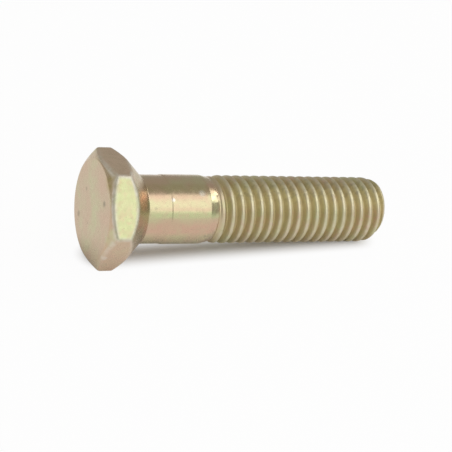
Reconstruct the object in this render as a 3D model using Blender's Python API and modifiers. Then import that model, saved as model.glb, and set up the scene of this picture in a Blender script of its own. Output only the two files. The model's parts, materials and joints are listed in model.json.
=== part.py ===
"""Countersunk bolt, 1/2 in-13 by 2-1/4 in, forged in one piece.

A low hexagon with a chamfered face runs straight into a 90 degree countersunk
cone. Behind it come a plain shank with the forging dies' step line, a shoulder
down to the rolling diameter, and a right-hand rolled thread with its run-out
and its tapered point.

The bolt is turned about its own Z axis, with the head's face at Z = 0 and the
thread pointing up. It is then laid on a hexagon flat and on the last full
crest of its thread, as it comes to rest on a table: head towards -X, thread
towards +X, floor at Z = 0.
"""

import math

import bmesh
import bpy
from mathutils import Vector

NAME = "countersunk_bolt"

# Head, in metres and degrees
ACROSS_FLATS = 0.01905
FACE_DIAMETER = 0.0177
FACE_CHAMFER_ANGLE = 27.0
CONE_ANGLE = 90.0
HEAD_DEPTH = 0.00835
CONE_FILLET = 0.0004

# Shank
LAND_DIAMETER = 0.0124
LAND_LENGTH = 0.00435
BODY_DIAMETER = 0.0126
BODY_LENGTH = 0.0077
DIE_LINE_SLOPE = 0.0002
SHOULDER_LENGTH = 0.0017
SHOULDER_FILLET = 0.0055
NECK_DIAMETER = 0.01186

# Unified coarse thread, 13 to the inch
THREAD_DIAMETER = 0.01256
THREAD_PITCH = 0.0254 / 13
THREAD_LENGTH = 0.03625
THREAD_ANGLE = 60.0
CREST_FLAT = 1 / 8
THREAD_DEPTH = 17 / 24
RUNOUT_LENGTH = 0.0023
FIRST_CREST = 0.00149

# Rolled point, where the crests stay unfilled and the roots close in
POINT_LENGTH = 0.0036
POINT_CREST_DROP = 0.0012
POINT_ROOT_DROP = 0.0004
POINT_EDGE = 0.0003
END_FACE_DIAMETER = 0.0090

# Finish: zinc with a yellow passivation
ZINC_COLOUR = (0.56, 0.44, 0.21, 1.0)
ZINC_ROUGHNESS = 0.36

# Facets round the bolt, a multiple of 12 so that each hexagon corner falls
# in the middle of a facet
FACETS = 48
FILLET_STEPS = 3
HALF_FACET = math.pi / FACETS
WELD = 1e-6
SLICE_SNAP = 1e-5

# Places along the bolt, from the head's face
LAND_START = HEAD_DEPTH
DIE_LINE = LAND_START + LAND_LENGTH
SHOULDER_START = DIE_LINE + BODY_LENGTH
THREAD_START = SHOULDER_START + SHOULDER_LENGTH
BOLT_END = THREAD_START + THREAD_LENGTH
POINT_EDGE_START = BOLT_END - POINT_EDGE
POINT_START = BOLT_END - POINT_LENGTH


def clear_scene():
    for obj in list(bpy.data.objects):
        bpy.data.objects.remove(obj, do_unlink=True)


def new_collection(name):
    collection = bpy.data.collections.new(name)
    bpy.context.scene.collection.children.link(collection)
    return collection


def zinc_yellow():
    """Steel with a yellow zinc coat."""
    material = bpy.data.materials.new("zinc_yellow")
    material.use_nodes = True
    shader = material.node_tree.nodes["Principled BSDF"]
    shader.inputs["Base Color"].default_value = ZINC_COLOUR
    shader.inputs["Metallic"].default_value = 1.0
    shader.inputs["Roughness"].default_value = ZINC_ROUGHNESS
    material.diffuse_color = ZINC_COLOUR
    return material


def fillet(corner, before, after, radius, steps):
    """Points of the arc that rounds a corner between two profile points."""
    to_before = (before - corner).normalized()
    to_after = (after - corner).normalized()
    half_angle = to_before.angle(to_after) / 2
    setback = radius / math.tan(half_angle)
    centre = corner + (to_before + to_after).normalized() * radius / math.sin(half_angle)
    first = corner + to_before * setback - centre
    last = corner + to_after * setback - centre
    return [centre + radius * first.slerp(last, step / steps) for step in range(steps + 1)]


def head_profile():
    """Radius and height from the rim of the head's face to the neck."""
    face_radius = FACE_DIAMETER / 2
    land_radius = LAND_DIAMETER / 2
    body_radius = BODY_DIAMETER / 2
    chamfer_slope = math.tan(math.radians(FACE_CHAMFER_ANGLE))
    cone_slope = math.tan(math.radians(CONE_ANGLE / 2))
    cone_apex = LAND_START + land_radius / cone_slope
    rim_radius = (cone_apex + face_radius * chamfer_slope) / (chamfer_slope + 1 / cone_slope)
    rim = Vector((rim_radius, (rim_radius - face_radius) * chamfer_slope))
    cone_end = Vector((land_radius, LAND_START))
    die_line = Vector((land_radius, DIE_LINE))
    body_start = Vector((body_radius, DIE_LINE + DIE_LINE_SLOPE))
    shoulder = Vector((body_radius, SHOULDER_START))
    neck = Vector((NECK_DIAMETER / 2, THREAD_START))
    return [
        Vector((face_radius, 0.0)),
        rim,
        *fillet(cone_end, rim, die_line, CONE_FILLET, FILLET_STEPS),
        die_line,
        body_start,
        *fillet(shoulder, body_start, neck, SHOULDER_FILLET, FILLET_STEPS),
        neck,
    ]


def root_radius():
    sharp_height = THREAD_PITCH / (2 * math.tan(math.radians(THREAD_ANGLE / 2)))
    return THREAD_DIAMETER / 2 - THREAD_DEPTH * sharp_height


def thread_profile():
    """One pitch of the 60 degree thread form, from the middle of a root."""
    crest_radius = THREAD_DIAMETER / 2
    half_crest = CREST_FLAT * THREAD_PITCH / 2
    flank = THREAD_DEPTH * THREAD_PITCH / 2
    half_root = THREAD_PITCH / 2 - half_crest - flank
    return [
        Vector((root_radius(), half_root)),
        Vector((crest_radius, half_root + flank)),
        Vector((crest_radius, half_root + flank + 2 * half_crest)),
        Vector((root_radius(), half_root + 2 * flank + 2 * half_crest)),
        Vector((root_radius(), half_root + THREAD_PITCH)),
    ]


def turned(name, profile, start=0.0, rise=0.0, turns=1):
    """A surface turned about Z from a profile at +X, with a rise for a helix."""
    mesh = bpy.data.meshes.new(name)
    outline = bmesh.new()
    points = [outline.verts.new((p.x, 0.0, start + p.y)) for p in reversed(profile)]
    for upper, lower in zip(points, points[1:]):
        outline.edges.new((upper, lower))
    outline.to_mesh(mesh)
    outline.free()
    obj = bpy.data.objects.new(name, mesh)
    bpy.context.scene.collection.objects.link(obj)
    screw = obj.modifiers.new("turn", "SCREW")
    screw.angle = 2 * math.pi
    screw.steps = FACETS
    screw.render_steps = FACETS
    screw.screw_offset = rise
    screw.iterations = turns
    screw.use_merge_vertices = False
    return obj


def evaluated_mesh(obj):
    """The object's mesh with its modifiers, after which the object goes."""
    bpy.context.view_layer.update()
    graph = bpy.context.evaluated_depsgraph_get()
    mesh = bpy.data.meshes.new_from_object(obj.evaluated_get(graph))
    bpy.data.objects.remove(obj, do_unlink=True)
    return mesh


def set_radius(vertex, radius):
    flat = Vector((vertex.co.x, vertex.co.y)).normalized() * radius
    vertex.co.x = flat.x
    vertex.co.y = flat.y


def thread_radius(radius, height):
    """The radius of a point of the full thread, with the run-out and the point."""
    neck_radius = NECK_DIAMETER / 2
    if height < THREAD_START + RUNOUT_LENGTH:
        rise = (height - THREAD_START) / RUNOUT_LENGTH
        return neck_radius + rise * (radius - neck_radius)
    if height > POINT_START:
        drop = ((height - POINT_START) / POINT_LENGTH) ** 2
        filled = (radius - root_radius()) / (THREAD_DIAMETER / 2 - root_radius())
        return radius - drop * (POINT_ROOT_DROP + filled * (POINT_CREST_DROP - POINT_ROOT_DROP))
    return radius


def thread_surface():
    """The rolled thread as a helix of one pitch, with a plain circle at the neck."""
    half_turn = HALF_FACET / (2 * math.pi)
    crest_middle = thread_profile()[1].y + CREST_FLAT * THREAD_PITCH / 2
    start = THREAD_START + FIRST_CREST - crest_middle - half_turn * THREAD_PITCH
    start -= 3 * THREAD_PITCH
    turns = math.ceil(THREAD_LENGTH / THREAD_PITCH) + 5
    mesh = evaluated_mesh(turned("thread", thread_profile(), start, THREAD_PITCH, turns))
    thread = bmesh.new()
    thread.from_mesh(mesh)
    snap = THREAD_PITCH / FACETS
    for vertex in thread.verts:
        if vertex.co.z < THREAD_START + snap:
            vertex.co.z = THREAD_START
        radius = math.hypot(vertex.co.x, vertex.co.y)
        set_radius(vertex, thread_radius(radius, vertex.co.z))
    bmesh.ops.remove_doubles(thread, verts=thread.verts, dist=WELD)
    thread.to_mesh(mesh)
    thread.free()
    return mesh


def cut_to_length(blank):
    """Slices the thread at the point's edge and closes it with the end face."""
    bmesh.ops.bisect_plane(
        blank,
        geom=[*blank.verts, *blank.edges, *blank.faces],
        dist=SLICE_SNAP,
        plane_co=(0.0, 0.0, POINT_EDGE_START),
        plane_no=(0.0, 0.0, 1.0),
        clear_outer=True,
    )
    rim = [e for e in blank.edges if e.is_boundary and e.verts[0].co.z > POINT_START]
    edge = bmesh.ops.extrude_edge_only(blank, edges=rim)["geom"]
    for vertex in [item for item in edge if isinstance(item, bmesh.types.BMVert)]:
        vertex.co.z = BOLT_END
        set_radius(vertex, END_FACE_DIAMETER / 2)


def round_blank():
    """The whole bolt before its hexagon is formed, as one closed body."""
    blank = bmesh.new()
    blank.from_mesh(evaluated_mesh(turned("blank", head_profile())))
    blank.from_mesh(thread_surface())
    bmesh.ops.remove_doubles(blank, verts=blank.verts, dist=WELD)
    cut_to_length(blank)
    rims = [edge for edge in blank.edges if edge.is_boundary]
    bmesh.ops.holes_fill(blank, edges=rims, sides=0)
    bmesh.ops.recalc_face_normals(blank, faces=blank.faces)
    mesh = bpy.data.meshes.new("blank")
    blank.to_mesh(mesh)
    blank.free()
    obj = bpy.data.objects.new("blank", mesh)
    bpy.context.scene.collection.objects.link(obj)
    return obj


def hexagon_die(collection):
    """The hexagonal prism that the head is trimmed to, as long as the bolt."""
    corner_radius = ACROSS_FLATS / 2 / math.cos(math.pi / 6)
    length = 2 * BOLT_END
    bpy.ops.mesh.primitive_cylinder_add(
        vertices=6,
        radius=corner_radius,
        depth=length,
        location=(0.0, 0.0, BOLT_END / 2),
        rotation=(0.0, 0.0, HALF_FACET),
    )
    die = bpy.context.object
    die.name = "hexagon_die"
    die.hide_render = True
    die.display_type = "WIRE"
    for owner in list(die.users_collection):
        owner.objects.unlink(die)
    collection.objects.link(die)
    return die


def lowest_point(points, tilt):
    """The one of the (height, depth) points that a tilted bolt would rest on."""
    return max(points, key=lambda p: p[1] * math.cos(tilt) + p[0] * math.sin(tilt))


def resting_tilt(mesh):
    """Angle between the axis and the floor, lying on a flat and on the thread."""
    down = Vector((math.cos(HALF_FACET), math.sin(HALF_FACET), 0.0))
    head = [(v.co.z, v.co.dot(down)) for v in mesh.vertices if v.co.z < HEAD_DEPTH]
    thread = [(v.co.z, v.co.dot(down)) for v in mesh.vertices if v.co.z > THREAD_START]
    tilt = 0.0
    for _ in range(6):
        heel = lowest_point(head, tilt)
        toe = lowest_point(thread, tilt)
        tilt = math.atan2(heel[1] - toe[1], toe[0] - heel[0])
    return tilt


def lay_down(bolt):
    """Lays the bolt on the floor, with the middle of its outline at the origin."""
    tilt = resting_tilt(bolt.data)
    bolt.rotation_mode = "ZYX"
    bolt.rotation_euler = (0.0, math.pi / 2 + tilt, -HALF_FACET)
    turn = bolt.rotation_euler.to_matrix()
    corners = [turn @ vertex.co for vertex in bolt.data.vertices]
    lowest = Vector([min(c[axis] for c in corners) for axis in range(3)])
    highest = Vector([max(c[axis] for c in corners) for axis in range(3)])
    middle = (lowest + highest) / 2
    bolt.location = (-middle.x, -middle.y, -lowest.z)


def countersunk_bolt(collection, cutters):
    """The finished bolt, one solid."""
    blank = round_blank()
    hexagon = blank.modifiers.new("hexagon", "BOOLEAN")
    hexagon.operation = "INTERSECT"
    hexagon.solver = "EXACT"
    hexagon.object = hexagon_die(cutters)
    mesh = evaluated_mesh(blank)
    mesh.name = NAME
    mesh.materials.clear()
    mesh.materials.append(zinc_yellow())
    mesh.shade_smooth()
    mesh.set_sharp_from_angle(angle=math.radians(25))
    bolt = bpy.data.objects.new(NAME, mesh)
    collection.objects.link(bolt)
    lay_down(bolt)
    return bolt


def main():
    clear_scene()
    parts = new_collection(NAME)
    cutters = new_collection("cutters")
    countersunk_bolt(parts, cutters)


main()
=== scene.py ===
"""The yellow zinc countersunk bolt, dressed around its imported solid.

The bolt is modelled upright on its own axis: the head's face at Z = 0, the
thread's end at the top, and +X the side that the bolt later lies on. It is then
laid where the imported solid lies. Sizes are in metres unless a name says mm.
"""

import json
import math

import bpy
import numpy as np
from mathutils import Matrix, Vector, noise


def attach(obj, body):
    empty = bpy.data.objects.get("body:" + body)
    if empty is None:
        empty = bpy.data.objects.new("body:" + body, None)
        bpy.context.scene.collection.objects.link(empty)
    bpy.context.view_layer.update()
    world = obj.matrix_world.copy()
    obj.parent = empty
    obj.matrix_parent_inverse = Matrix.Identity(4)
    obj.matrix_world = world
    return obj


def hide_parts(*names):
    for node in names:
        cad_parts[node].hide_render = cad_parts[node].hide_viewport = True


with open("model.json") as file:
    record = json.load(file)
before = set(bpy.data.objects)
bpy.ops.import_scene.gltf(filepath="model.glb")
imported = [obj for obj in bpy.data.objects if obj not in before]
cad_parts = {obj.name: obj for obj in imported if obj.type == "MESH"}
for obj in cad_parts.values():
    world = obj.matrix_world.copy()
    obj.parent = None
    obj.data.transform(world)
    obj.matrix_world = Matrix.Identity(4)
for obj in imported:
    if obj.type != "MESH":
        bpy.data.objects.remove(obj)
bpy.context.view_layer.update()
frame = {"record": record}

# Where the bolt lies, from the solid's stated faces
FACES = {mount["name"]: mount for mount in frame["record"]["mounts"]}
HEAD_FACE = Vector(FACES["head_face"]["pos_m"])
END_FACE = Vector(FACES["thread_end_face"]["pos_m"])
TOP_FLAT = Vector(FACES["wrench_flat_top"]["pos_m"])
UNDER_FLAT = Vector(FACES["wrench_flat_under"]["pos_m"])
DOWN = Vector(FACES["wrench_flat_under"]["axis"]).normalized()
AXIS = (END_FACE - HEAD_FACE).normalized()
LENGTH = (END_FACE - HEAD_FACE).length

# Head
APOTHEM = (TOP_FLAT - UNDER_FLAT).dot(-DOWN) / 2
FACE_RADIUS = 0.00885
FACE_CHAMFER = math.radians(27)
CONE_HALF_ANGLE = math.radians(45)
HEAD_DEPTH = 0.00835
FACE_EDGE_ROUND = 0.0006
CHAMFER_EDGE_ROUND = 0.0007
CONE_EDGE_ROUND = 0.0005
CORNER_ROUND = 0.0007
CONE_FILLET = 0.0004

# Shank
LAND_RADIUS = 0.0062
LAND_LENGTH = 0.00435
BODY_RADIUS = 0.0063
BODY_LENGTH = 0.0077
DIE_LINE_SLOPE = 0.00027
DIE_LINE_ROUND = 0.0001
SHOULDER_LENGTH = 0.0017
SHOULDER_ROUND = 0.0012
NECK_RADIUS = 0.00593

# Thread, coarse, 13 to the inch
CREST_RADIUS = 0.00628
PITCH = 0.0254 / 13
THREAD_ANGLE = math.radians(60)
THREAD_DEPTH = 0.62
ROOT_ROUND = 0.00025
RUNOUT_LENGTH = 0.0023
RUNOUT_BELLY = 0.65
FIRST_CREST = 0.00149
HALF_ROOT = PITCH / 12

# The crest's dome and seam: distance past the crest's radius, place along from its
# middle, rounding, arc steps and pieces
CREST_DOME = [
    (-0.000050, -0.00026, 0.00018, 3, 1),
    (0.000004, -0.00001, 0.00045, 2, 1),
    (-0.000020, 0.00012, 0, 0, 1),
    (-0.000012, 0.00024, 0.00008, 2, 3),
]

# Rolled point, formed a little off centre
POINT_LENGTH = 0.0036
POINT_CREST_DROP = 0.0013
POINT_ROOT_DROP = 0.0004
POINT_OFF_CENTRE = 0.37
UNFILLED_ROUND = 0.00005
UNFILLED_CLEARANCE = 4 * UNFILLED_ROUND
FULL_SIDE = math.radians(150)
POINT_EDGE = 0.0003
END_FACE_RADIUS = 0.0045
END_DISH = 0.00012

# Places along the axis from the head's face
LAND_START = HEAD_DEPTH
DIE_LINE = LAND_START + LAND_LENGTH
SHOULDER = DIE_LINE + BODY_LENGTH
THREAD_START = SHOULDER + SHOULDER_LENGTH
POINT_EDGE_START = LENGTH - POINT_EDGE
POINT_START = LENGTH - POINT_LENGTH

# How finely the bolt is turned
HEAD_COLUMNS = 240
CORNER_CROWDING = 0.86
THREAD_COLUMNS = 160
BRIDGE_GAP = 0.00012
SPARE_TURNS = 5
TURNS_BELOW = 3
END_RIM_RINGS = 4
END_FACE_RINGS = 6
SMOOTH_UNDER = math.radians(35)
SAME_POINT = 1e-6

# Wear: how far the rubbed edges reach, how sharply they end and how bare they are
CHAMFER_EDGE_WEAR = 0.0006
CONE_EDGE_WEAR = 0.0005
CORNER_WEAR = 0.0005
HEAD_WEAR_DEPTH = 0.0004
HEAD_WEAR_GAIN = 1.6
END_RIM_WEAR = 0.00045
END_WEAR_DEPTH = 0.0003
END_WEAR_GAIN = 1.4
BARE_SHARE = 0.8

# The side most handled, as a turn round the axis from straight down, and how soon
# its wear falls off
MOST_HANDLED = math.radians(222)
HANDLED_POWER = 3

# The forging's unevenness: its depth, and two noises, each a scale per metre
UNEVEN_DEPTH = 0.000006
UNEVEN_BROAD = 400
UNEVEN_FINE = 1100

# Dents: distance from the axis, turn round it, place along it, size and depth, in mm
# and degrees
DENTS = [
    (6.28, 216, 26.7, 0.45, 0.09),
    (6.28, 210, 34.3, 0.50, 0.10),
    (6.28, 205, 42.0, 0.45, 0.07),
    (6.28, 250, 48.6, 0.40, 0.06),
    (6.20, 225, 12.5, 0.30, 0.03),
    (6.30, 216, 18.6, 0.50, 0.03),
    (6.23, 234, 0.00, 0.45, 0.02),
    (10.52, 210, 0.85, 0.60, 0.06),
    (6.28, 60, 30.0, 0.60, 0.09),
    (9.52, 95, 2.40, 0.60, 0.03),
    (3.10, 10, 0.00, 0.50, 0.02),
]

SHARP_HEIGHT = PITCH / (2 * math.tan(THREAD_ANGLE / 2))
ROOT_RADIUS = CREST_RADIUS - THREAD_DEPTH * SHARP_HEIGHT


def rounded_outline(corners):
    """A turned outline from corners of (radius, height, rounding, arc steps, pieces).

    The pieces cut the straight run after the corner, up to the next corner's arc.
    """
    arcs = []
    for index, (radius, height, rounding, steps, _) in enumerate(corners):
        corner = Vector((radius, height))
        if rounding == 0:
            arcs.append([corner])
            continue
        before = (Vector(corners[index - 1][:2]) - corner).normalized()
        after = (Vector(corners[index + 1][:2]) - corner).normalized()
        half = before.angle(after) / 2
        hub = corner + (before + after).normalized() * rounding / math.sin(half)
        setback = rounding / math.tan(half)
        first = corner + before * setback - hub
        last = corner + after * setback - hub
        arc = [hub + rounding * first.slerp(last, step / steps) for step in range(steps + 1)]
        arcs.append(arc)
    points = []
    for arc, following, corner in zip(arcs, arcs[1:], corners):
        points += arc
        pieces = corner[4]
        points += [arc[-1].lerp(following[0], piece / pieces) for piece in range(1, pieces)]
    return points + arcs[-1]


def draw_outline(name, points):
    """Draws an outline at +X as by hand, one extruded point after another."""
    bpy.ops.object.select_all(action="DESELECT")
    bpy.ops.mesh.primitive_plane_add(size=0.001, location=(0, 0, 0))
    outline = bpy.context.object
    outline.name = name
    places = [Vector((point.x, 0, point.y)) for point in points]
    bpy.ops.object.mode_set(mode="EDIT")
    bpy.ops.mesh.select_all(action="SELECT")
    bpy.ops.mesh.merge(type="CENTER")
    bpy.ops.transform.translate(value=places[0])
    for here, there in zip(places, places[1:]):
        bpy.ops.mesh.extrude_region_move(TRANSFORM_OT_translate={"value": there - here})
    bpy.ops.object.mode_set(mode="OBJECT")
    return outline


def read_points(obj):
    values = np.empty(len(obj.data.vertices) * 3)
    obj.data.vertices.foreach_get("co", values)
    return values.reshape(-1, 3)


def write_points(obj, points):
    obj.data.vertices.foreach_set("co", points.astype(np.float32).ravel())
    obj.data.update()


def edit_all(obj, *steps):
    """Runs edit mode steps on the whole of one mesh."""
    bpy.ops.object.select_all(action="DESELECT")
    obj.select_set(True)
    bpy.context.view_layer.objects.active = obj
    bpy.ops.object.mode_set(mode="EDIT")
    bpy.ops.mesh.select_mode(type="VERT")
    bpy.ops.mesh.select_all(action="SELECT")
    for step in steps:
        step()
    bpy.ops.object.mode_set(mode="OBJECT")


def pick_points(obj, chosen):
    """Selects the vertices that a mask names, and nothing else."""
    mesh = obj.data
    mesh.polygons.foreach_set("select", np.zeros(len(mesh.polygons), bool))
    mesh.edges.foreach_set("select", np.zeros(len(mesh.edges), bool))
    mesh.vertices.foreach_set("select", chosen)


def rim_points(obj):
    """A mask of the points on open edges."""
    mesh = obj.data
    uses = np.zeros(len(mesh.edges), int)
    loops = np.empty(len(mesh.loops), int)
    mesh.loops.foreach_get("edge_index", loops)
    np.add.at(uses, loops, 1)
    ends = np.empty(len(mesh.edges) * 2, int)
    mesh.edges.foreach_get("vertices", ends)
    open_ends = ends.reshape(-1, 2)[uses == 1]
    mask = np.zeros(len(mesh.vertices), bool)
    mask[open_ends.ravel()] = True
    return mask


def hexagon_reach(angle):
    """Radius of the rounded hexagon at an angle from the middle of a flat."""
    corner = math.pi / 6
    from_flat = abs((angle + corner) % (2 * corner) - corner)
    hub = (APOTHEM - CORNER_ROUND) / math.cos(corner)
    if math.tan(from_flat) * APOTHEM <= (APOTHEM - CORNER_ROUND) * math.tan(corner):
        return APOTHEM / math.cos(from_flat)
    across = hub * math.sin(corner - from_flat)
    return hub * math.cos(corner - from_flat) + math.sqrt(CORNER_ROUND**2 - across**2)


def head_outline(reach):
    """From the middle of the face to the neck, where the hexagon has this reach."""
    chamfer_height = (reach - FACE_RADIUS) * math.tan(FACE_CHAMFER)
    cone_height = HEAD_DEPTH - (reach - LAND_RADIUS) / math.tan(CONE_HALF_ANGLE)
    slope = (NECK_RADIUS - BODY_RADIUS) / SHOULDER_LENGTH
    bridge_radius = NECK_RADIUS - slope * BRIDGE_GAP
    return rounded_outline([
        (0, 0, 0, 0, 16),
        (FACE_RADIUS, 0, FACE_EDGE_ROUND, 4, 2),
        (reach, chamfer_height, CHAMFER_EDGE_ROUND, 5, 9),
        (reach, cone_height, CONE_EDGE_ROUND, 5, 9),
        (LAND_RADIUS, LAND_START, CONE_FILLET, 4, 6),
        (LAND_RADIUS, DIE_LINE, DIE_LINE_ROUND, 2, 1),
        (BODY_RADIUS, DIE_LINE + DIE_LINE_SLOPE, DIE_LINE_ROUND, 2, 10),
        (BODY_RADIUS, SHOULDER, SHOULDER_ROUND, 6, 2),
        (bridge_radius, THREAD_START - BRIDGE_GAP, 0, 0, 1),
    ])


def head_and_shank():
    """Turned from its outline, then pressed to the hexagon, ring by ring."""
    outline = head_outline(hexagon_reach(math.pi / 6))
    blank = draw_outline("head_and_shank", outline)
    drawn = read_points(blank)[:, [0, 2]]
    away = np.linalg.norm(drawn[:, None] - np.array(outline)[None], axis=2)
    ring = blank.data.attributes.new("ring", "INT", "POINT")
    ring.data.foreach_set("value", np.argmin(away, axis=1).astype(np.int32))
    edit_all(
        blank,
        lambda: bpy.ops.mesh.spin(
            steps=HEAD_COLUMNS, angle=2 * math.pi, center=(0, 0, 0), axis=(0, 0, 1)
        ),
        lambda: bpy.ops.mesh.select_all(action="SELECT"),
        lambda: bpy.ops.mesh.remove_doubles(threshold=SAME_POINT),
        lambda: bpy.ops.mesh.normals_make_consistent(inside=False),
    )
    points = read_points(blank)
    rings = np.empty(len(points), np.int32)
    blank.data.attributes["ring"].data.foreach_get("value", rings)
    step = 2 * math.pi / HEAD_COLUMNS
    columns = np.round(np.arctan2(points[:, 1], points[:, 0]) / step).astype(int) % HEAD_COLUMNS
    for column in range(HEAD_COLUMNS):
        even = column * step
        angle = even + CORNER_CROWDING / 6 * math.sin(6 * even)
        section = np.array(head_outline(hexagon_reach(angle)))
        mine = columns == column
        radius = section[rings[mine], 0]
        points[mine, 0] = radius * math.cos(angle)
        points[mine, 1] = radius * math.sin(angle)
        points[mine, 2] = section[rings[mine], 1]
    write_points(blank, points)
    blank.data.attributes.remove(blank.data.attributes["ring"])
    return blank


def mark_worn_edges(bolt):
    """Marks the rounded edges at both ends, where handling rubs the colour off."""
    points = read_points(bolt)
    radius = np.hypot(points[:, 0], points[:, 1])
    angle = np.arctan2(points[:, 1], points[:, 0])
    reach = np.array([hexagon_reach(turn) for turn in angle])
    height = points[:, 2]
    chamfer = np.abs(height - (reach - FACE_RADIUS) * math.tan(FACE_CHAMFER))
    cone = np.abs(height - (HEAD_DEPTH - reach + LAND_RADIUS))
    outside = radius > reach - HEAD_WEAR_DEPTH
    corner = math.pi / 6
    from_corner = corner - np.abs((angle + corner) % (2 * corner) - corner)
    edge = np.maximum(1 - chamfer / CHAMFER_EDGE_WEAR, 1 - cone / CONE_EDGE_WEAR)
    edge = np.maximum(edge, 1 - from_corner * APOTHEM / CORNER_WEAR)
    worn = np.clip(edge * HEAD_WEAR_GAIN, 0, 1)
    worn = np.where(outside & (height < HEAD_DEPTH), worn, 0)
    handled = (0.5 + 0.5 * np.cos(angle - MOST_HANDLED)) ** HANDLED_POWER
    from_rim = np.abs(height - LENGTH + POINT_EDGE / 2)
    rim = np.clip(END_WEAR_GAIN - from_rim / END_RIM_WEAR, 0, 1)
    outside = radius > END_FACE_RADIUS - END_WEAR_DEPTH
    rim = np.where(outside & (height > HEAD_DEPTH), rim, 0)
    worn = BARE_SHARE * (worn * handled + rim)
    values = bolt.data.attributes.new("worn", "FLOAT", "POINT")
    values.data.foreach_set("value", worn.astype(np.float32))


def weather(bolt):
    """Presses the forging's slight unevenness and a few dents into the surface."""
    points = read_points(bolt)
    normals = np.empty(len(points) * 3)
    bolt.data.vertices.foreach_get("normal", normals)
    uneven = [
        noise.noise(Vector(point) * UNEVEN_BROAD) + noise.noise(Vector(point) * UNEVEN_FINE) / 3
        for point in points
    ]
    depth = UNEVEN_DEPTH * (1 - np.array(uneven))
    for radius, degrees, along, size, deep in DENTS:
        turn = math.radians(degrees)
        place = np.array((radius * math.cos(turn), radius * math.sin(turn), along)) / 1000
        away = np.linalg.norm(points - place, axis=1) / size * 1000
        depth += deep / 1000 * np.clip(1 - away**2, 0, 1) ** 2
    write_points(bolt, points - normals.reshape(-1, 3) * depth[:, None])


def thread_outline():
    """One pitch of the rolled form: a domed crest with a seam, and round roots."""
    crest = [(CREST_RADIUS + past, PITCH / 2 + along, *rest) for past, along, *rest in CREST_DOME]
    return rounded_outline([
        (ROOT_RADIUS, 0, 0, 0, 1),
        (ROOT_RADIUS, HALF_ROOT, ROOT_ROUND, 3, 3),
        *crest,
        (ROOT_RADIUS, PITCH - HALF_ROOT, ROOT_ROUND, 3, 1),
        (ROOT_RADIUS, PITCH, 0, 0, 1),
    ])


def thread_radius(radius, height, angle):
    """A point's radius after the run-out at the neck and the unfilled crests at the end."""
    rise = np.clip((height - THREAD_START) / RUNOUT_LENGTH, 0, 1) ** RUNOUT_BELLY
    radius = NECK_RADIUS + rise * (radius - NECK_RADIUS)
    along = np.clip((height - POINT_START) / POINT_LENGTH, 0, 1.2) ** 2
    lean = 1 - POINT_OFF_CENTRE * np.cos(angle - FULL_SIDE)
    drop = POINT_CREST_DROP * lean + UNFILLED_CLEARANCE
    limit = CREST_RADIUS + UNFILLED_CLEARANCE - along * drop
    over = (limit - (radius - along * POINT_ROOT_DROP)) / UNFILLED_ROUND
    return limit - UNFILLED_ROUND * np.log1p(np.exp(over))


def rolled_thread():
    """One pitch screwed up the axis, shaped at both ends and cut to length."""
    turns = math.ceil((LENGTH - THREAD_START) / PITCH) + SPARE_TURNS
    thread = draw_outline("rolled_thread", thread_outline())
    screw = thread.modifiers.new("screw", "SCREW")
    screw.angle = 2 * math.pi
    screw.steps = THREAD_COLUMNS
    screw.render_steps = THREAD_COLUMNS
    screw.screw_offset = PITCH
    screw.iterations = turns
    bpy.ops.object.modifier_apply(modifier=screw.name)
    points = read_points(thread)
    points[:, 2] += THREAD_START + FIRST_CREST - PITCH / 2 - TURNS_BELOW * PITCH
    angle = np.arctan2(points[:, 1], points[:, 0])
    radius = np.hypot(points[:, 0], points[:, 1])
    radius = thread_radius(radius, points[:, 2], angle)
    points[:, 0] = radius * np.cos(angle)
    points[:, 1] = radius * np.sin(angle)
    write_points(thread, points)
    edit_all(
        thread,
        lambda: bpy.ops.mesh.remove_doubles(threshold=SAME_POINT),
        lambda: bpy.ops.mesh.bisect(
            plane_co=(0, 0, THREAD_START), plane_no=(0, 0, 1), clear_inner=True
        ),
        lambda: bpy.ops.mesh.select_all(action="SELECT"),
        lambda: bpy.ops.mesh.bisect(
            plane_co=(0, 0, POINT_EDGE_START), plane_no=(0, 0, 1), clear_outer=True
        ),
    )
    return thread


def bridge_neck(bolt):
    """Joins the shank's last ring and the thread's first."""
    points = read_points(bolt)
    near_neck = np.abs(points[:, 2] - THREAD_START) < 3 * BRIDGE_GAP
    pick_points(bolt, rim_points(bolt) & near_neck)
    bpy.ops.object.mode_set(mode="EDIT")
    bpy.ops.mesh.bridge_edge_loops()
    bpy.ops.object.mode_set(mode="OBJECT")


def close_end(bolt):
    """Rolls the rim of the thread's end over and closes it with a dished face."""
    points = read_points(bolt)
    pick_points(bolt, rim_points(bolt) & (points[:, 2] > POINT_START))
    quarter = math.pi / 2
    for step in range(1, END_RIM_RINGS + END_FACE_RINGS):
        bpy.ops.object.mode_set(mode="EDIT")
        bpy.ops.mesh.extrude_region_move()
        bpy.ops.object.mode_set(mode="OBJECT")
        points = read_points(bolt)
        chosen = np.empty(len(points), bool)
        bolt.data.vertices.foreach_get("select", chosen)
        radius = np.hypot(points[chosen, 0], points[chosen, 1])
        if step <= END_RIM_RINGS:
            turn = quarter * step / END_RIM_RINGS
            inward = (1 - math.cos(turn)) - (1 - math.cos(turn - quarter / END_RIM_RINGS))
            left = math.cos(turn - quarter / END_RIM_RINGS)
            wanted = radius + (END_FACE_RADIUS - radius) * inward / left
            points[chosen, 2] = POINT_EDGE_START + POINT_EDGE * math.sin(turn)
        else:
            share = 1 - (step - END_RIM_RINGS) / END_FACE_RINGS
            wanted = END_FACE_RADIUS * share
            points[chosen, 2] = LENGTH - END_DISH * (1 - share**2)
        points[chosen, :2] *= (wanted / radius)[:, None]
        write_points(bolt, points)
    bpy.ops.object.mode_set(mode="EDIT")
    bpy.ops.mesh.extrude_region_move()
    bpy.ops.mesh.merge(type="CENTER")
    bpy.ops.mesh.select_all(action="SELECT")
    bpy.ops.mesh.remove_doubles(threshold=SAME_POINT)
    bpy.ops.mesh.normals_make_consistent(inside=False)
    bpy.ops.object.mode_set(mode="OBJECT")


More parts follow.
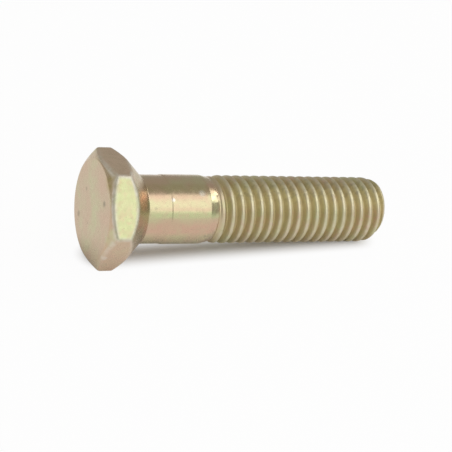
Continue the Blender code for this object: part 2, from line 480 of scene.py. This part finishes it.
def lay_down(bolt):
    """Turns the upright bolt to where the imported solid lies."""
    side = AXIS.cross(DOWN)
    turn = Matrix((DOWN, side, AXIS)).transposed().to_4x4()
    bolt.data.transform(Matrix.Translation(HEAD_FACE) @ turn)
    bolt.data.update()


def bolt_mesh():
    head = head_and_shank()
    thread = rolled_thread()
    bpy.ops.object.select_all(action="DESELECT")
    thread.select_set(True)
    head.select_set(True)
    bpy.context.view_layer.objects.active = head
    bpy.ops.object.join()
    head.name = "plated_bolt"
    bridge_neck(head)
    close_end(head)
    mark_worn_edges(head)
    weather(head)
    bpy.ops.object.shade_smooth_by_angle(angle=SMOOTH_UNDER)
    lay_down(head)
    return head


# Colours of the yellow passivation over zinc. The olive colour is painted shade, the brown is film
# and painted shade in the grooves, the smudge colour also paints shade, and the copper and pale
# colours are painted highlights
GOLD = (0.575, 0.450, 0.302, 1)
GREEN = (0.530, 0.570, 0.310, 1)
PINK = (0.610, 0.410, 0.295, 1)
STRAW = (0.585, 0.565, 0.335, 1)
OLIVE_SHADE = (0.440, 0.350, 0.165, 1)
BROWN_FILM_AND_SHADE = (0.560, 0.440, 0.195, 1)
LEMON = (0.560, 0.510, 0.290, 1)
ROSE = (0.700, 0.535, 0.385, 1)
COPPER_HIGHLIGHT = (0.980, 0.620, 0.400, 1)
ZINC = (0.800, 0.760, 0.670, 1)
PALE_HIGHLIGHT = (0.740, 0.680, 0.420, 1)
SMUDGE_AND_SHADE = (0.300, 0.275, 0.200, 1)

# Tint of single flats: colour, strength, turn round the bolt in degrees
FLATS = [
    (GREEN, 0.90, 240),
    (PINK, 0.60, 300),
    (ROSE, 0.90, 180),
    (STRAW, 0.40, 60),
    (GREEN, 0.30, 120),
]

# Tints of the film along the shank and the thread, with some stripes of painted shade
# and painted highlight: colour, strength, the turn round the bolt and its half width in
# degrees, the place along it and its half length in mm
STRIPES = [
    # Painted shade: darkens the shank's upper side next to its bright band
    (OLIVE_SHADE, 0.40, 204, 13, 14.5, 8.5),
    (PINK, 0.45, 219, 9, 14.5, 8.5),
    (STRAW, 0.70, 233, 11, 15.0, 8.0),
    (GREEN, 0.85, 250, 10, 15.5, 7.5),
    (PINK, 1.00, 276, 18, 14.5, 8.5),
    (GREEN, 0.50, 322, 18, 14.0, 7.0),
    # Painted shade: darkens the underside of the thread
    (OLIVE_SHADE, 0.45, 318, 42, 41.0, 18.0),
    # Painted highlight: a broad pale band along the thread's upper side
    (PALE_HIGHLIGHT, 0.85, 216, 38, 41.5, 18.5),
]

# Blotches of the film, and a few spots of painted shade and painted highlight: colour,
# strength, distance from the axis in mm, turn round it in degrees, place along it in mm
# and size in mm
BLOTCHES = [
    (GREEN, 0.40, 2.2, 205, 0.0, 3.4),
    (GREEN, 0.25, 3.2, 320, 0.0, 3.2),
    (PINK, 0.35, 7.2, 205, 0.0, 3.4),
    (PINK, 0.30, 7.4, 250, 0.0, 2.6),
    (PINK, 0.25, 6.8, 325, 0.0, 3.4),
    (STRAW, 0.80, 9.9, 267, 0.5, 1.4),
    # Painted shade: darkens the upper chamfer of the head
    (OLIVE_SHADE, 0.95, 9.5, 213, 0.3, 2.2),
    (STRAW, 0.60, 9.5, 238, 2.9, 1.8),
    # Painted shade: darkens the upper side of the cone
    (OLIVE_SHADE, 0.50, 8.4, 200, 6.1, 2.2),
    # Painted highlight: a bright copper spot on the cone, a reflection of the lit shank
    (COPPER_HIGHLIGHT, 1.00, 8.0, 230, 6.5, 2.5),
    (PINK, 0.55, 6.1, 272, 21.4, 1.6),
    (STRAW, 0.90, 6.1, 222, 20.9, 1.7),
    (GREEN, 0.60, 6.1, 238, 21.0, 1.2),
    (PINK, 0.70, 6.1, 198, 21.0, 1.2),
    # Painted highlight: a pale spot on the point
    (PALE_HIGHLIGHT, 1.00, 5.2, 220, 57.6, 3.8),
    (ZINC, 1.00, 6.3, 226, 13.0, 0.50),
    (ZINC, 0.60, 6.3, 214, 18.8, 0.90),
    (ZINC, 0.50, 9.5, 304, 0.60, 0.90),
    (ZINC, 0.70, 6.4, 236, 0.50, 0.45),
]

# Dark smudges and specks, and one spot of painted shade: distance from the axis, turn, place along,
# size, strength
SMUDGE_AND_SHADE_SPOTS = [
    (6.1, 233, 0.0, 0.80, 0.90),
    (4.4, 116, 0.0, 0.60, 0.35),
    (6.6, 54, 0.0, 0.90, 0.45),
    (3.2, 12, 0.0, 0.45, 0.25),
    (7.0, 345, 0.0, 0.60, 0.25),
    # Painted shade: a dark spot on the shoulder's lower side
    (6.3, 292, 20.2, 0.55, 0.40),
    (6.3, 240, 9.6, 0.50, 0.30),
]

# Where the parts of the bolt lie, in mm along it: the head's end, the thread's start,
# and the stretch of shank that shows turning marks
HEAD_END_MM = (7.9, 8.6)
THREAD_START_MM = (21.5, 23.5)
MARKED_START_MM = (8.4, 12.6)
MARKED_END_MM = (19.2, 20.2)

# Distances from the axis over which a flat, a groove and a crest begin, in mm
FLAT_MM = (9.25, 9.45)
GROOVE_MM = (5.3, 6.2)
CREST_MM = (5.8, 6.24)

# Turn, half width, middle and half length of the thread's upper side, where it has darker patches
UPPER_THREAD_PATCHES = (200, 46, 41.5, 18.5)

# Share of the film on the shank and on the thread's grooves and crests; in the grooves it is also
# painted shade
FILM_SHARE = 0.40
GROOVE_SHARE = 0.40
CREST_SHARE = 0.28

# How much of its shine is metal's in the deepest groove, where the film is thickest
GROOVE_METAL = 0.62
GRAIN_HEIGHT = 0.000020


class Nodes:
    """A short way to write a material's nodes."""

    def __init__(self, tree):
        self.tree = tree

    def add(self, kind, inputs=None, **settings):
        node = self.tree.nodes.new("ShaderNode" + kind)
        for name, value in settings.items():
            setattr(node, name, value)
        for socket, value in (inputs or {}).items():
            if isinstance(value, bpy.types.NodeSocket):
                self.tree.links.new(value, node.inputs[socket])
            else:
                node.inputs[socket].default_value = value
        return node

    def math(self, operation, first, second=0.0):
        return self.add("Math", {0: first, 1: second}, operation=operation).outputs[0]

    def fade(self, value, low, high, start=0.0, end=1.0):
        """The value's smooth change from start at low to end at high."""
        inputs = {"Value": value, "From Min": low, "From Max": high, "To Min": start, "To Max": end}
        return self.add("MapRange", inputs, interpolation_type="SMOOTHSTEP").outputs["Result"]

    def noise(self, place, scale, detail=2.0, stretch=(1, 1, 1)):
        if stretch != (1, 1, 1):
            place = self.add("Mapping", {"Vector": place, "Scale": stretch}).outputs["Vector"]
        inputs = {"Vector": place, "Scale": scale, "Detail": detail}
        return self.add("TexNoise", inputs).outputs["Fac"]

    def tint(self, share, below, above):
        """One colour over another, by this share."""
        node = self.add("Mix", data_type="RGBA")
        for index, value in ((0, share), (6, below), (7, above)):
            socket = node.inputs[index]
            if isinstance(value, bpy.types.NodeSocket):
                self.tree.links.new(value, socket)
            else:
                socket.default_value = value
        return node.outputs[2]


def bolt_millimetres(nodes):
    """Object coordinates turned to the bolt's own axes: down, side, along, in mm."""
    where = nodes.add("TexCoord").outputs["Object"]
    side = AXIS.cross(DOWN)
    turn = Matrix((DOWN, side, AXIS)).transposed().to_euler("XYZ")
    mapping = nodes.add(
        "Mapping",
        {"Vector": where, "Location": HEAD_FACE, "Rotation": turn, "Scale": (0.001,) * 3},
        vector_type="TEXTURE",
    )
    return mapping.outputs["Vector"]


def spot(nodes, place, radius, degrees, along, size):
    """A soft round spot on the bolt, 1 at its middle."""
    turn = math.radians(degrees)
    middle = (radius * math.cos(turn), radius * math.sin(turn), along)
    away = nodes.add("VectorMath", {0: place, 1: middle}, operation="DISTANCE")
    return nodes.fade(away.outputs["Value"], 0.25 * size, size, 1.0, 0.0)


def stripe(nodes, degrees_round, along, degrees, half_turn, middle, half_length):
    """A soft stripe along the bolt, 1 at its middle."""
    off = nodes.math("ABSOLUTE", nodes.math("SUBTRACT", degrees_round, degrees))
    beside = nodes.math("ABSOLUTE", nodes.math("SUBTRACT", along, middle))
    across = nodes.fade(off, 0.2 * half_turn, half_turn, 1.0, 0.0)
    end = nodes.fade(beside, 0.8 * half_length, half_length, 1.0, 0.0)
    return nodes.math("MULTIPLY", across, end)


def zinc_yellow():
    material = bpy.data.materials.new("zinc_yellow_plate")
    material.use_nodes = True
    nodes = Nodes(material.node_tree)
    link = material.node_tree.links.new
    shader = material.node_tree.nodes["Principled BSDF"]

    place = bolt_millimetres(nodes)
    parts = nodes.add("SeparateXYZ", {0: place})
    along = parts.outputs["Z"]
    flat = nodes.add("CombineXYZ", {0: parts.outputs["X"], 1: parts.outputs["Y"]})
    radius = nodes.add("VectorMath", {0: flat.outputs[0]}, operation="LENGTH").outputs["Value"]
    turn = nodes.math("ARCTAN2", parts.outputs["Y"], parts.outputs["X"])
    degrees = nodes.math("MULTIPLY", turn, 180 / math.pi)
    degrees = nodes.math("FLOORED_MODULO", degrees, 360.0)
    worn = nodes.add("Attribute", attribute_name="worn").outputs["Fac"]

    on_head = nodes.fade(along, *HEAD_END_MM, 1.0, 0.0)
    on_thread = nodes.fade(along, *THREAD_START_MM)
    film = nodes.add("ValToRGB", {"Fac": nodes.noise(place, 0.22, 3.0)})
    stops = film.color_ramp.elements
    stops[0].position = 0.36
    stops[0].color = PINK
    stops[1].position = 0.66
    stops[1].color = GREEN
    stops.new(0.50).color = GOLD
    mottled = nodes.fade(nodes.noise(place, 1.3, 3.0), 0.45, 0.65, 0.0, 0.5)
    mottled = nodes.math("MULTIPLY", mottled, on_thread)
    colour = nodes.tint(on_thread, GOLD, LEMON)
    share = nodes.math("SUBTRACT", FILM_SHARE, nodes.math("MULTIPLY", on_thread, 0.15))
    colour = nodes.tint(nodes.math("ADD", mottled, share), colour, film.outputs["Color"])
    ragged = nodes.fade(nodes.noise(place, 0.9, 3.0), 0.35, 0.60, 0.55, 1.0)
    for tone, strength, *where in STRIPES:
        share = nodes.math("MULTIPLY", stripe(nodes, degrees, along, *where), strength)
        colour = nodes.tint(nodes.math("MULTIPLY", share, ragged), colour, tone)
    for tone, strength, degrees_round in FLATS:
        outward = math.radians(degrees_round)
        square = (math.cos(outward), math.sin(outward), 0)
        out = nodes.add("VectorMath", {0: place, 1: square}, operation="DOT_PRODUCT")
        share = nodes.fade(out.outputs["Value"], *FLAT_MM, 0.0, strength)
        colour = nodes.tint(nodes.math("MULTIPLY", share, ragged), colour, tone)
    for tone, strength, *where in BLOTCHES:
        share = nodes.math("MULTIPLY", spot(nodes, place, *where), strength)
        colour = nodes.tint(nodes.math("MULTIPLY", share, ragged), colour, tone)

    # Brown in the grooves: the thicker film there, and painted shade in the recesses
    groove_film_and_shade = nodes.math("MULTIPLY", on_thread, nodes.fade(radius, *GROOVE_MM, 1.0, 0.0))
    colour = nodes.tint(nodes.math("MULTIPLY", groove_film_and_shade, GROOVE_SHARE), colour, BROWN_FILM_AND_SHADE)
    crest = nodes.math("MULTIPLY", on_thread, nodes.fade(radius, *CREST_MM, 0.0, CREST_SHARE))
    patchy = nodes.fade(nodes.noise(place, 0.7, 2.0), 0.35, 0.6, 0.45, 1.0)
    rubbed = nodes.math("MULTIPLY", nodes.math("MAXIMUM", worn, crest), patchy)
    colour = nodes.tint(rubbed, colour, ZINC)

    dull_and_shade = nodes.fade(nodes.noise(place, 2.6, 3.0), 0.30, 0.42, 0.16, 0.0)
    # Darker patches on the upper side of the thread
    upper_side = stripe(nodes, degrees, along, *UPPER_THREAD_PATCHES)
    darker_patches = nodes.fade(nodes.noise(place, 1.1, 4.0), 0.40, 0.54, 0.28, 0.0)
    dull_and_shade = nodes.math("MAXIMUM", dull_and_shade, nodes.math("MULTIPLY", darker_patches, upper_side))
    # Real smudges, with one spot of painted shade on the shoulder
    for *where, strength in SMUDGE_AND_SHADE_SPOTS:
        mark = nodes.math("MULTIPLY", spot(nodes, place, *where), strength)
        dull_and_shade = nodes.math("MAXIMUM", dull_and_shade, nodes.math("MULTIPLY", mark, ragged))
    colour = nodes.tint(dull_and_shade, colour, SMUDGE_AND_SHADE)
    link(colour, shader.inputs["Base Color"])
    link(nodes.fade(groove_film_and_shade, 0.0, 0.8, 1.0, GROOVE_METAL), shader.inputs["Metallic"])

    rougher = (
        (on_head, 0.05),
        (on_thread, 0.20),
        (groove_film_and_shade, 0.16),
        (worn, 0.32),
        (dull_and_shade, 0.30),
    )
    rough = nodes.fade(nodes.noise(place, 1.1, 3.0), 0.3, 0.7, 0.20, 0.28)
    for share, extra in rougher:
        rough = nodes.math("ADD", rough, nodes.math("MULTIPLY", share, extra))
    link(rough, shader.inputs["Roughness"])

    turned = nodes.fade(along, *MARKED_START_MM, 1.0, 0.35)
    turned = nodes.math("MULTIPLY", turned, nodes.fade(along, *HEAD_END_MM))
    turned = nodes.math("MULTIPLY", turned, nodes.fade(along, *MARKED_END_MM, 1.0, 0.0))
    rings = nodes.math("MULTIPLY", nodes.noise(place, 1.8, 2.0, (0.06, 0.06, 1.0)), turned)
    calm = nodes.fade(along, *MARKED_END_MM, 0.5, 0.12)
    coarse = nodes.math("ADD", nodes.math("MULTIPLY", on_thread, 1.1), calm)
    grain = nodes.math("MULTIPLY", nodes.noise(place, 1.5, 2.0), coarse)
    height = nodes.math("ADD", grain, nodes.math("MULTIPLY", rings, 0.8))
    bump = nodes.add("Bump", {"Height": height, "Strength": 0.4, "Distance": GRAIN_HEIGHT})
    link(bump.outputs["Normal"], shader.inputs["Normal"])
    return material


# Camera, as fitted to the photograph
CAMERA_AIM = Vector((-0.003316, -0.002508, 0.006))
CAMERA_DISTANCE = 0.22633
CAMERA_AZIMUTH = math.radians(28.885)
CAMERA_DIP = math.radians(28.440)
CAMERA_ROLL = math.radians(10.782)
CAMERA_LENS = 98.076


def set_camera():
    camera = bpy.data.objects.new("camera", bpy.data.cameras.new("camera"))
    bpy.context.scene.collection.objects.link(camera)
    turn = (
        Matrix.Rotation(-CAMERA_AZIMUTH, 4, "Z")
        @ Matrix.Rotation(math.pi / 2 - CAMERA_DIP, 4, "X")
        @ Matrix.Rotation(CAMERA_ROLL, 4, "Z")
    )
    camera.matrix_world = (
        Matrix.Translation(CAMERA_AIM) @ turn @ Matrix.Translation((0, 0, CAMERA_DISTANCE))
    )
    camera.data.lens = CAMERA_LENS
    camera.data.sensor_width = 36
    camera.data.clip_start = 0.01
    bpy.context.scene.camera = camera


# Light: a soft box in front from overhead to the horizon, and one past each end, in a
# dim plain room. Front boxes: name, the turns of the upper and lower edge in degrees,
# left and right end along the axis in metres, power
FRONT_DISTANCE = 0.55
FRONT_BOXES = [
    ("key", 192, 251, -0.12, 0.43, 1.15),
    ("low_front", 251, 268, -0.12, 0.43, 0.15),
]

# End boxes: name, direction, width, height, power
END_DISTANCE = 0.6
END_BOXES = [
    ("right_end", (0.80, -0.04, 0.59), 0.38, 0.11, 0.37),
    ("left_end", (-0.90, 0.25, 0.36), 0.30, 0.20, 0.075),
]
ROOM_LIGHT = (0.46, 0.45, 0.43, 1)


def round_axis(turn):
    """The direction square to the bolt's axis, this far round from straight down."""
    side = AXIS.cross(DOWN)
    return math.cos(turn) * DOWN + math.sin(turn) * side


def soft_box(name, direction, across, place, wide, high, power):
    """A rectangular lamp at a place, its back to the direction, its width along across."""
    lamp = bpy.data.lights.new(name, "AREA")
    lamp.shape = "RECTANGLE"
    lamp.size = wide
    lamp.size_y = high
    lamp.energy = power
    box = bpy.data.objects.new(name, lamp)
    bpy.context.scene.collection.objects.link(box)
    turn = Matrix((across, direction.cross(across), direction)).transposed().to_4x4()
    box.matrix_world = Matrix.Translation(place) @ turn


def end_box(name, direction, wide, high, power):
    """A soft box that faces the bolt, its width level."""
    direction = Vector(direction).normalized()
    level = Vector((0, 0, 1)).cross(direction).normalized()
    soft_box(name, direction, level, END_DISTANCE * direction, wide, high, power)


def front_box(name, top, bottom, left, right, power):
    """A soft box square to the axis: from one turn to another, and along it in m."""
    square = round_axis(math.radians(top + bottom) / 2)
    high = 2 * FRONT_DISTANCE * math.tan(math.radians(bottom - top) / 2)
    place = FRONT_DISTANCE * square + (left + right) / 2 * AXIS
    soft_box(name, square, AXIS, place, right - left, high, power)


def set_light():
    for box in FRONT_BOXES:
        front_box(*box)
    for box in END_BOXES:
        end_box(*box)
    world = bpy.data.worlds.new("room")
    world.use_nodes = True
    room = world.node_tree.nodes["Background"]
    room.inputs["Color"].default_value = ROOM_LIGHT
    bpy.context.scene.world = world


# Floor: pale, and seen as white past the bolt's soft shadow. The shadow's half
# length, and how far from it the floor turns white to the eye and in reflections
FLOOR_GREY = (0.9, 0.9, 0.9, 1)
SHADOW_HALF_LENGTH = 0.026
WHITE_SEEN = (0.0, 0.0055, 0.0, 0.96)
WHITE_MIRRORED = (0.001, 0.012, 0.0, 0.86)


def set_floor():
    bpy.ops.object.select_all(action="DESELECT")
    bpy.ops.mesh.primitive_plane_add(size=6, location=(0, 0, 0))
    floor = bpy.context.object
    floor.name = "floor"
    material = bpy.data.materials.new("pale_floor")
    material.use_nodes = True
    nodes = Nodes(material.node_tree)
    tree = material.node_tree
    shader = tree.nodes["Principled BSDF"]
    shader.inputs["Base Color"].default_value = FLOOR_GREY
    shader.inputs["Roughness"].default_value = 0.9
    shader.inputs["Specular IOR Level"].default_value = 0.0
    glow = nodes.add("Emission", {"Color": (1, 1, 1, 1), "Strength": 1.0})
    path = nodes.add("LightPath")
    place = nodes.add("SeparateXYZ", {0: nodes.add("TexCoord").outputs["Object"]})
    beyond = nodes.math("ABSOLUTE", place.outputs["X"])
    beyond = nodes.math("MAXIMUM", nodes.math("SUBTRACT", beyond, SHADOW_HALF_LENGTH), 0.0)
    beside = nodes.add("CombineXYZ", {0: beyond, 1: place.outputs["Y"]})
    away = nodes.add("VectorMath", {0: beside.outputs[0]}, operation="LENGTH").outputs["Value"]
    seen = nodes.fade(away, *WHITE_SEEN)
    seen = nodes.math("MULTIPLY", seen, path.outputs["Is Camera Ray"])
    mirrored = nodes.math(
        "MAXIMUM", path.outputs["Is Glossy Ray"], path.outputs["Is Transmission Ray"]
    )
    mirrored = nodes.math("MULTIPLY", nodes.fade(away, *WHITE_MIRRORED), mirrored)
    share = nodes.math("MAXIMUM", seen, mirrored)
    mix = nodes.add("MixShader", {0: share, 1: shader.outputs[0], 2: glow.outputs[0]})
    tree.links.new(mix.outputs[0], tree.nodes["Material Output"].inputs["Surface"])
    floor.data.materials.append(material)


bolt = bolt_mesh()
bolt.data.materials.clear()
bolt.data.materials.append(zinc_yellow())
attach(bolt, "root")
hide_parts("countersunk_bolt")
set_floor()
set_light()
set_camera()
bpy.context.scene.view_settings.view_transform = "Standard"
